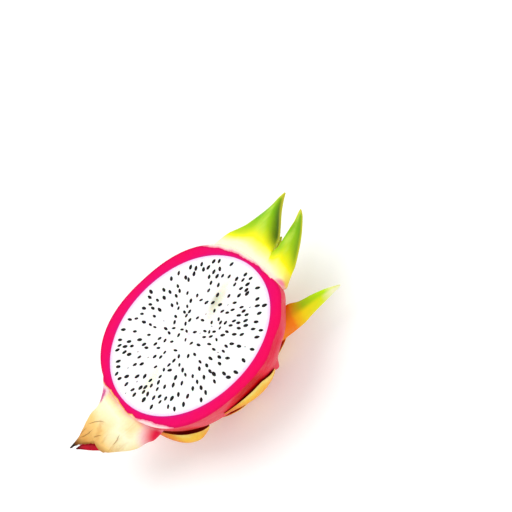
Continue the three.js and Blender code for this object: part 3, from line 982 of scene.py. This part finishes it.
def bract_finish(colours):
    """Bracts on the skin: the skin's red at the root, orange, yellow, and a pale thin margin."""
    finish = Finish("bract", Subsurface_Weight=0.12, Subsurface_Scale=0.003, Specular_IOR_Level=0.2)
    veins = finish.noise(300, 4, 0.6, stretch=(5, 1, 1))
    broad = finish.noise(110, 3)
    free = finish.attribute("free")
    tip = finish.attribute("tip")
    way = free + (broad - 0.5) * 0.25
    across = way.ramp(
        (0.04, colours.skin),
        (0.18, linear(238, 70, 24)),
        (0.34, colours.orange),
        (0.6, linear(252, 168, 22)),
        (0.9, linear(255, 200, 56)),
        (1.0, colours.margin),
    )
    rooted = finish.mix(tip.between(0.05, 0.42, 0.85, 0), across, linear(236, 112, 30))
    far = finish.mix(free.between(0.6, 1.0), linear(250, 166, 26), linear(255, 216, 110))
    ended = finish.mix(tip.between(0.62, 0.92), rooted, far)
    speckled = finish.mix(veins.between(0.5, 0.8, 0, 0.3), ended, linear(226, 118, 20))
    inner = finish.mix(way.between(0.2, 1.0), linear(196, 10, 10), linear(232, 96, 14))
    colour = finish.mix(finish.attribute("inner_side") * 0.9, speckled, inner)
    finish.relief((veins, 0.0003), (broad, 0.0006))
    return finish.done(colour, veins, 0.36, 0.5)


def shoulder_finish():
    """The bract on the crown's shoulder: orange-red root, orange, yellow, then green to the tip."""
    finish = Finish(
        "shoulder_bract", Subsurface_Weight=0.08, Subsurface_Scale=0.004, Specular_IOR_Level=0.14
    )
    veins = finish.noise(240, 4, 0.6, stretch=(7, 1, 1))
    broad = finish.noise(80, 3)
    way = finish.attribute("past") + (broad - 0.5) * 0.15
    upper = way.ramp(
        (0.0, linear(232, 104, 2)),
        (0.05, linear(224, 148, 0)),
        (0.16, linear(200, 174, 0)),
        (0.32, linear(162, 190, 2)),
        (0.8, linear(186, 236, 8)),
        (0.97, linear(240, 246, 150)),
    )
    lower = way.ramp(
        (0.0, linear(250, 130, 0)),
        (0.08, linear(252, 180, 0)),
        (0.26, linear(250, 218, 0)),
        (0.7, linear(226, 240, 10)),
        (0.97, linear(252, 252, 200)),
    )
    colour = finish.mix(finish.attribute("flank").between(0.45, 0.8), upper, lower)
    finish.relief((veins, 0.0004), (broad, 0.0006))
    return finish.done(colour, veins, 0.34, 0.48)


# Brown fibres in the husk, each (start, end, bend), by (x, y) in millimetres.
HUSK_FIBRES = [
    ((-72, 2.2), (-62.5, -6), 0.5),
    ((-81, -1.4), (-70, -4.6), -0.5),
    ((-61, -16), (-69.5, -17), 0.9),
    ((-74, -7), (-69, -9.5), 0.4),
    ((-79, 0), (-73, 0.6), 0.3),
]


def husk_finish(colours):
    """Dried stem end: cream beside the fruit, tan further out, brown fibres, black at the very tip."""
    finish = Finish("husk", Subsurface_Weight=0.06, Subsurface_Scale=0.003, Specular_IOR_Level=0.2)
    fibres = finish.noise(330, 5, 0.65, 0.6, stretch=(6, 1, 2))
    broad = finish.noise(90, 4, 0.6)
    past = finish.attribute("past")
    pale_lobe = finish.patch((-65, -17, -4), (15, 10, 14)).between(0.0, 0.6, 0, 0.16)
    base = (past + ((broad - 0.5) * 0.22 - pale_lobe)).ramp(
        (0.0, linear(252, 196, 120)),
        (0.05, linear(255, 236, 176)),
        (0.14, linear(255, 254, 214)),
        (0.3, linear(254, 238, 184)),
        (0.46, colours.husk),
        (0.74, linear(226, 168, 86)),
        (0.9, linear(128, 78, 28)),
    )
    crack = fibres.between(0.5, 0.7, 0, 0.25) * past.between(0.3, 0.6)
    for start, end, bend in HUSK_FIBRES:
        crack = crack.larger(finish.stroke(start, end, 0.42, bend, broad))
    cracked = finish.mix(crack, base, colours.husk_dark)
    veined = finish.mix(fibres.between(0.55, 0.8, 0, 0.3), cracked, linear(226, 164, 84))
    # Painted shade along the fold between the husk's two lobes.
    fold_shade = finish.stroke((-74.5, -10.5), (-62, -3), 1.6, 0.5, broad)
    fold_shaded = finish.mix(fold_shade * 0.6, veined, linear(214, 152, 78))
    frayed = finish.attribute("edge") * past.between(0.58, 0.74, 0, 0.75)
    edged = finish.mix(frayed, fold_shaded, colours.husk_dark)
    wing = finish.patch((-54, 11, 0), (12, 7, 9)).between(0.0, 0.6, 0, 0.75)
    rosy = finish.mix(wing, edged, linear(255, 214, 232))
    wisp = finish.stroke((-51.5, 12.5), (-62, 5.8), 2.2, 0.4, broad, 0.95)
    wispy = finish.mix(wisp, rosy, linear(204, 74, 140))
    right = finish.patch((-46, -31, -6), (17, 14, 15))
    pale = finish.mix(right.between(0.0, 0.35, 0, 0.8), wispy, linear(255, 206, 214))
    pink = finish.mix(right.between(0.14, 0.7), pale, linear(232, 14, 66))
    tipped = finish.mix(past.between(0.86, 0.93, 0, 0.95), pink, linear(14, 10, 8))
    colour = beyond_border(finish, tipped, colours.rind, linear(244, 186, 100))
    finish.relief((fibres, 0.0005), (crack.between(0.0, 0.6, 1, 0), 0.0002), (broad, 0.001))
    return finish.done(colour, fibres, 0.5, 0.7)


def dark_skin_finish():
    """The dark red bract under the husk, brown at its tip."""
    finish = Finish("dark_skin", Subsurface_Weight=0.05, Subsurface_Scale=0.003, Specular_IOR_Level=0.15)
    fibres = finish.noise(300, 4, 0.6, stretch=(5, 1, 1))
    base = finish.noise(190, 3).ramp((0.35, linear(176, 0, 34)), (0.7, linear(208, 6, 44)))
    colour = finish.mix(finish.attribute("past").between(0.86, 1.0), base, linear(60, 14, 14))
    finish.relief((fibres, 0.0004))
    return finish.done(colour, fibres, 0.4, 0.55)


def stub_finish(colours):
    """The withered bract of the crown: olive and orange spots, yellower towards its tip."""
    finish = Finish("withered_bract", Specular_IOR_Level=0.3)
    fibres = finish.noise(420, 4, 0.65, stretch=(5, 1, 1))
    spots = finish.noise(260, 3)
    base = spots.ramp((0.3, linear(160, 150, 30)), (0.55, linear(214, 204, 60)), (0.8, colours.orange))
    colour = finish.mix(finish.attribute("past"), base, linear(214, 214, 60))
    finish.relief((fibres, 0.0005))
    return finish.done(colour, fibres, 0.5, 0.7)


FLOOR_GLOW = 0.16  # the floor gives off a little light, so that shadows on it stay pale


def floor_finish(colours):
    glow = {"Emission_Color": (0.8, 1, 1, 1), "Emission_Strength": FLOOR_GLOW}
    finish = Finish("floor", Specular_IOR_Level=0.2, **glow)
    grain = finish.noise(30, 2)
    colour = finish.mix(grain.between(0.3, 0.7, 0, 0.2), colours.floor, linear(247, 247, 248))
    return finish.done(colour, grain, 0.55, 0.65)


# ---------------------------------------------------------------- the body

PROFILE_ROWS = 120  # along the body
SPIN_STEPS = 96  # around its half turn
RIND_COLUMNS = 8
FLESH_COLUMNS = 26
HALO = 4.5 * MM  # width of the flesh's pinkish rim
LUMPS_FADE = 9 * MM  # depth under the cut where the skin's lumps reach their full height
ON_SKIN = 0.4 * MM  # corners nearer to the outline than this belong to the skin
ON_OUTLINE = 0.02 * MM
FLESH_WAVES = 0.06 * MM  # unevenness of the flesh's cut face


def spun_half(name, columns, section):
    """A closed half body: a section in the cut plane, spun half a turn about the fruit's axis."""
    piece = placed_grid(name, PROFILE_ROWS, columns, section)
    edit_whole(piece)
    bpy.ops.mesh.spin(steps=SPIN_STEPS, angle=math.pi, center=(0, 0, CUT_HEIGHT), axis=(1, 0, 0))
    bpy.ops.mesh.select_all(action="SELECT")
    bpy.ops.mesh.remove_doubles(threshold=2 * SAME_PLACE)
    bpy.ops.mesh.normals_make_consistent(inside=False)
    leave_edit_mode()
    return piece


def skin_lumps(point, height):
    """Soft lumps and shallow furrows of the skin, none at the cut."""
    broad = noise.noise(point * 26 + Vector((3, 1, 7)))
    fine = noise.noise(point * 80)
    depth = smoothstep(0, LUMPS_FADE, CUT_HEIGHT - point.z)
    return height * depth * (broad + 0.35 * fine)


# Places where the skin stands out or sinks in: (x, angle, height, reach along, reach around), in
# millimetres and degrees.
SKIN_BUMPS = [
    (22.4, 150, 2.8, 2.8, 3.6),
    (33, 148, -1.4, 7, 10),
    (33, 182, -1.7, 9, 7),
    (50, 164, 3, 7, 8),
]
FLESH_DENTS = [(46.5, 11, -3.2, 3.8, 3.6)]


def bumps_height(point, bumps):
    """Height in metres that a list of bumps gives a point."""
    height = 0
    for x, angle, rise, along, around in bumps:
        centre = over_skin(x * MM, math.radians(angle), 0)
        offset = (point - centre) / MM
        height += rise * math.exp(-((offset.x / along) ** 2) - (offset.yz.length / around) ** 2)
    return height * MM


def out_of_body(point):
    """The direction straight out of the body at a point, level at the cut."""
    level = 0 if abs(point.z - CUT_HEIGHT) < 0.1 * MM else (point.z - CUT_HEIGHT) / BODY_RADIUS**2
    return Vector((point.x / BODY_HALF_LENGTH**2, point.y / BODY_RADIUS**2, level)).normalized()


def is_on_cut(face):
    return face.normal.z > 0.9 and face.center.z > CUT_HEIGHT - 0.05 * MM


def build_peel(sizes, colours):
    def section(row, column):
        outer = Vector(profile_point(row, BODY_HALF_LENGTH, BODY_RADIUS, RIND_FULLNESS))
        inner = Vector(profile_point(row, FLESH_HALF_LENGTH, FLESH_RADIUS, FLESH_FULLNESS))
        x, out = outer.lerp(inner, column)
        return Vector((x, out, CUT_HEIGHT))

    piece = spun_half("peel_skin", RIND_COLUMNS, section)

    def on_outline(edge):
        ends = [piece.data.vertices[i].co for i in edge.vertices]
        level = all(abs(end.z - CUT_HEIGHT) < SAME_PLACE for end in ends)
        return level and all(abs(past_body(end)) < ON_OUTLINE for end in ends)

    select_in_edit_mode(piece, "EDGE", on_outline)
    bpy.ops.mesh.bevel(offset=sizes.cut_edge, segments=3, clamp_overlap=True)
    leave_edit_mode()

    def across_rind(point):
        outer = radius_at(point.x)
        inner = radius_at(point.x, FLESH_HALF_LENGTH, FLESH_RADIUS, FLESH_FULLNESS)
        out = math.hypot(point.y, point.z - CUT_HEIGHT)
        return clamped((outer - out) / max(outer - inner, SAME_PLACE))

    write_attribute(piece, "inner", across_rind)
    write_attribute(piece, "border", lambda point: past_border(point) / BORDER_UNIT)
    for vertex in piece.data.vertices:
        point = vertex.co
        inward = across_rind(point)
        height = (1 - inward) * bumps_height(point, SKIN_BUMPS) + inward * bumps_height(point, FLESH_DENTS)
        skin = radius_at(point.x) - math.hypot(point.y, point.z - CUT_HEIGHT)
        if abs(skin) < ON_SKIN:
            height += skin_lumps(point, sizes.skin_relief)
        vertex.co = point + out_of_body(point) * height
        vertex.co.z = max(vertex.co.z, 0)

    # How strongly painted shade darkens the skin in the folds beside the bracts.
    write_attribute(piece, "flap_shade", flap_shade_strength)
    write_attribute(piece, "end", lambda point: smoothstep(-0.93, -1.0, point.x / BODY_HALF_LENGTH))
    piece.data.materials.append(skin_finish(colours))
    piece.data.materials.append(rind_finish(colours))
    select_in_edit_mode(piece, "FACE", is_on_cut)
    piece.active_material_index = 1
    bpy.ops.object.material_slot_assign()
    leave_edit_mode()
    finished(piece, [], ["peel"], angle=50)


def build_flesh(sizes, colours):
    def section(row, column):
        x, out = profile_point(row, FLESH_HALF_LENGTH, FLESH_RADIUS, FLESH_FULLNESS)
        closer_at_rim = 1 - (1 - column) ** 1.6
        return Vector((x, out * closer_at_rim, CUT_HEIGHT))

    piece = spun_half("flesh_pulp", FLESH_COLUMNS, section)
    for vertex in piece.data.vertices:
        if abs(vertex.co.z - CUT_HEIGHT) < SAME_PLACE:
            vertex.co.z += FLESH_WAVES * noise.noise(vertex.co * 140)

    def rim(point):
        share = (abs(point.x) / FLESH_HALF_LENGTH) ** FLESH_FULLNESS
        out = (math.hypot(point.y, point.z - CUT_HEIGHT) / FLESH_RADIUS) ** FLESH_FULLNESS
        size = max((share + out) ** (1 / FLESH_FULLNESS), 1e-6)
        inside = math.hypot(point.x, point.y) * (1 / size - 1)
        return clamped(1 - inside / HALO)

    write_attribute(piece, "rim", rim)
    for vertex in piece.data.vertices:
        near = smoothstep(0.6, 1, rim(vertex.co))
        vertex.co += out_of_body(vertex.co) * near * bumps_height(vertex.co, FLESH_DENTS)
    finished(piece, [flesh_finish(colours)], ["flesh"], angle=50)


SEED_TRIES = 20000
UNRIPE_EVERY = 19  # one seed in so many is small and grey
UNRIPE_FIRST = 7
UNRIPE_SIZE = 0.42
SEED_SUNK = 0.16 * MM
SEED_TILT = 0.18  # radians, up or down
SEED_POINT = 0.22  # how much narrower a seed is at its pointed end


def seed_places(sizes):
    """Places, turns and sizes of the seeds: pointing to the middle, larger and tidier near the rind."""
    chance = random.Random(sizes.chance)
    half_length = FLESH_HALF_LENGTH - sizes.seed_margin
    half_width = FLESH_RADIUS - sizes.seed_margin
    places = []
    for _ in range(SEED_TRIES):
        if len(places) >= sizes.seed_count:
            break
        x = chance.uniform(-1, 1) * half_length
        y = chance.uniform(-1, 1) * half_width
        out = math.hypot(x / half_length, y / half_width)
        if out > 1:
            continue
        crowding = 1 + 0.55 * noise.noise(Vector((x * 60, y * 60, 2)))
        if any(math.hypot(x - a, y - b) < sizes.seed_spacing * crowding for a, b, *_ in places):
            continue
        spread = mixed(0.8, 0.2, smoothstep(0.15, 0.7, out))
        turn = math.atan2(y, x) + chance.gauss(0, spread)
        size = mixed(0.82, 1.0, smoothstep(0.2, 0.9, out)) * chance.uniform(0.88, 1.1)
        places.append((x, y, turn, size))
    return places


def build_seeds(sizes, colours):
    deselect_all()
    bpy.ops.mesh.primitive_uv_sphere_add(segments=12, ring_count=8, radius=0.5)
    pattern = bpy.context.active_object
    for vertex in pattern.data.vertices:
        narrow = 1 - SEED_POINT * smoothstep(0.0, 0.5, vertex.co.x)
        vertex.co = Vector((vertex.co.x, vertex.co.y * narrow, vertex.co.z * narrow))
    chance = random.Random(sizes.chance + 1)
    copies = []
    for number, (x, y, turn, size) in enumerate(seed_places(sizes)):
        unripe = number % UNRIPE_EVERY == UNRIPE_FIRST
        scale = size * (UNRIPE_SIZE if unripe else 1)
        height = CUT_HEIGHT - SEED_SUNK + chance.uniform(-0.08, 0.06) * MM
        length = sizes.seed_length * scale
        width = sizes.seed_width * scale * chance.uniform(0.92, 1.08)
        shape = Matrix.Diagonal((length, width, sizes.seed_height, 1))
        tilt = Matrix.Rotation(chance.uniform(-SEED_TILT, SEED_TILT), 4, "Y")
        place = Matrix.Translation((x, y, height)) @ Matrix.Rotation(turn, 4, "Z") @ tilt
        copy = bpy.data.objects.new("seed", pattern.data.copy())
        copy.data.transform(place @ shape)
        bpy.context.scene.collection.objects.link(copy)
        write_attribute(copy, "ripe", lambda point: 0.15 if unripe else 1.0)
        copies.append(copy)
    bpy.data.objects.remove(pattern)
    make_active(copies[0])
    for copy in copies:
        copy.select_set(True)
    bpy.ops.object.join()
    copies[0].name = "seeds"
    finished(copies[0], [seed_finish(colours)], angle=60)


def build_crown(sizes, colours):
    # The last two arguments are the colour and strength of the painted shade on each leaf's folded flank.
    tall = leaf_finish(colours, "tall_crown_leaf", linear(62, 96, 0), 0.92)
    leaf = leaf_finish(colours, "crown_leaf", linear(110, 150, 10), 0.7)
    finished(blade("crown_leaf_tall", 1), [tall], ["crown_leaf_tall"])
    finished(blade("crown_leaf_front", 1), [leaf], ["crown_leaf_front"])
    for name in ROUND_BLADES:
        finished(round_blade(name), [leaf], [name])
    finished(blade("crown_stub", 1), [stub_finish(colours)], ["crown_stub"])
    shoulder = shoulder_finish()
    finished(blade("side_bract_crown", 1), [shoulder], ["side_bract_crown"])


def build_stem_end(sizes, colours):
    finished(blade("stem_end", -1, torn), [husk_finish(colours)], ["stem_end"])
    finished(blade("stem_scale", -1), [dark_skin_finish()], ["stem_scale"])


def build_bracts(sizes, colours):
    finish = bract_finish(colours)
    for name, scale in SKIN_SCALES.items():
        finished(flap(name, scale), [finish], [name], angle=60)


# ---------------------------------------------------------------- the stage


FLOOR_SIZE = 8
KEY_PLACE = (-0.1, 0.3, 0.84)
KEY_SIZE = 0.6
KEY_COLOUR = (1.0, 0.99, 0.97)
FILL_PLACE = (0.25, -0.75, 0.5)
FILL_SIZE = 0.8
FILL_COLOUR = (1.0, 0.98, 0.98)
LIT_PLACE = (0, 0, 0.03)

# The camera looks down on the cut face from the near long side, turned so that the crown points up and to
# the right. The fruit lies low and to the left in its view.
VIEW_TOWARD = (0, -0.53, 0.848)
VIEW_RIGHT = (0.737, -0.573, -0.358)
AIM_RIGHT = 35.6 * MM
AIM_UP = 41.3 * MM


def add_light(name, place, size, power, colour):
    light = bpy.data.lights.new(name, "AREA")
    light.shape = "DISK"
    light.size = size
    light.energy = power
    light.color = colour
    lamp = bpy.data.objects.new(name, light)
    bpy.context.scene.collection.objects.link(lamp)
    lamp.location = place
    lamp.rotation_euler = (Vector(LIT_PLACE) - Vector(place)).to_track_quat("-Z", "Y").to_euler()


def build_floor(colours):
    deselect_all()
    bpy.ops.mesh.primitive_plane_add(size=FLOOR_SIZE, location=(0, 0, 0))
    floor = bpy.context.active_object
    floor.name = "floor"
    floor.data.materials.append(floor_finish(colours))


def build_lights(stage):
    world = bpy.data.worlds.new("even_light")
    bpy.context.scene.world = world
    world.use_nodes = True
    background = world.node_tree.nodes["Background"]
    background.inputs["Color"].default_value = (1.0, 1.0, 1.0, 1.0)
    background.inputs["Strength"].default_value = stage.sky
    bpy.context.scene.view_settings.view_transform = "Standard"
    add_light("key_light", KEY_PLACE, KEY_SIZE, stage.key_power, KEY_COLOUR)
    add_light("fill_light", FILL_PLACE, FILL_SIZE, stage.fill_power, FILL_COLOUR)


def build_camera(stage):
    toward = Vector(VIEW_TOWARD).normalized()
    right = Vector(VIEW_RIGHT).normalized()
    up = toward.cross(right)
    aim = Vector((0, 0, CUT_HEIGHT)) + AIM_RIGHT * right + AIM_UP * up
    camera = bpy.data.objects.new("camera", bpy.data.cameras.new("camera"))
    bpy.context.scene.collection.objects.link(camera)
    camera.data.lens = stage.lens
    camera.data.sensor_width = 36
    camera.data.clip_start = 0.01
    camera.data.clip_end = 20
    turned = Matrix((right, up, toward)).transposed().to_4x4()
    camera.matrix_world = Matrix.Translation(aim + stage.distance * toward) @ turned
    bpy.context.scene.camera = camera


# ---------------------------------------------------------------- operators, panel and registration


class PieceOperator:
    """What the operators share: each builds its pieces from the scene's sizes and colours."""

    bl_options = {"REGISTER", "UNDO"}

    def execute(self, context):
        self.build(context.scene.fruit_sizes, context.scene.fruit_colours)
        return {"FINISHED"}


class FRUIT_OT_peel(PieceOperator, bpy.types.Operator):
    """Build the pink peel with its flat cut rim"""

    bl_idname = "fruit.peel"
    bl_label = "Peel"
    build = staticmethod(build_peel)


class FRUIT_OT_flesh(PieceOperator, bpy.types.Operator):
    """Build the white flesh"""

    bl_idname = "fruit.flesh"
    bl_label = "Flesh"
    build = staticmethod(build_flesh)


class FRUIT_OT_seeds(PieceOperator, bpy.types.Operator):
    """Build the black seeds in the cut face"""

    bl_idname = "fruit.seeds"
    bl_label = "Seeds"
    build = staticmethod(build_seeds)


class FRUIT_OT_crown(PieceOperator, bpy.types.Operator):
    """Build the bracts of the crown"""

    bl_idname = "fruit.crown"
    bl_label = "Crown bracts"
    build = staticmethod(build_crown)


class FRUIT_OT_bracts(PieceOperator, bpy.types.Operator):
    """Build the bracts on the skin"""

    bl_idname = "fruit.bracts"
    bl_label = "Skin bracts"
    build = staticmethod(build_bracts)


class FRUIT_OT_stem_end(PieceOperator, bpy.types.Operator):
    """Build the dried stem end and the dark bract under it"""

    bl_idname = "fruit.stem_end"
    bl_label = "Stem end"
    build = staticmethod(build_stem_end)


class FRUIT_OT_stage(bpy.types.Operator):
    """Build the floor, the lights and the camera"""

    bl_idname = "fruit.stage"
    bl_label = "Stage"

    def execute(self, context):
        build_floor(context.scene.fruit_colours)
        build_lights(context.scene.fruit_stage)
        build_camera(context.scene.fruit_stage)
        return {"FINISHED"}


OPERATORS = (
    FRUIT_OT_peel,
    FRUIT_OT_flesh,
    FRUIT_OT_seeds,
    FRUIT_OT_crown,
    FRUIT_OT_bracts,
    FRUIT_OT_stem_end,
    FRUIT_OT_stage,
)


class FRUIT_PT_pieces(bpy.types.Panel):
    """The fruit's pieces, sizes and colours"""

    bl_label = "Dragon fruit"
    bl_space_type = "VIEW_3D"
    bl_region_type = "UI"
    bl_category = "Dragon fruit"

    def draw(self, context):
        column = self.layout.column()
        for operator in OPERATORS:
            column.operator(operator.bl_idname)
        for group in (context.scene.fruit_sizes, context.scene.fruit_colours, context.scene.fruit_stage):
            for name in group.bl_rna.properties.keys():
                if name not in ("rna_type", "name"):
                    column.prop(group, name)


CLASSES = (FruitSizes, FruitColours, StageSettings, *OPERATORS, FRUIT_PT_pieces)


def register():
    for item in CLASSES:
        bpy.utils.register_class(item)
    bpy.types.Scene.fruit_sizes = PointerProperty(type=FruitSizes)
    bpy.types.Scene.fruit_colours = PointerProperty(type=FruitColours)
    bpy.types.Scene.fruit_stage = PointerProperty(type=StageSettings)


def unregister():
    del bpy.types.Scene.fruit_stage
    del bpy.types.Scene.fruit_colours
    del bpy.types.Scene.fruit_sizes
    for item in reversed(CLASSES):
        bpy.utils.unregister_class(item)


def main():
    register()
    bpy.ops.fruit.peel()
    bpy.ops.fruit.flesh()
    bpy.ops.fruit.seeds()
    bpy.ops.fruit.crown()
    bpy.ops.fruit.bracts()
    bpy.ops.fruit.stem_end()
    bpy.ops.fruit.stage()


if __name__ == "__main__":
    main()
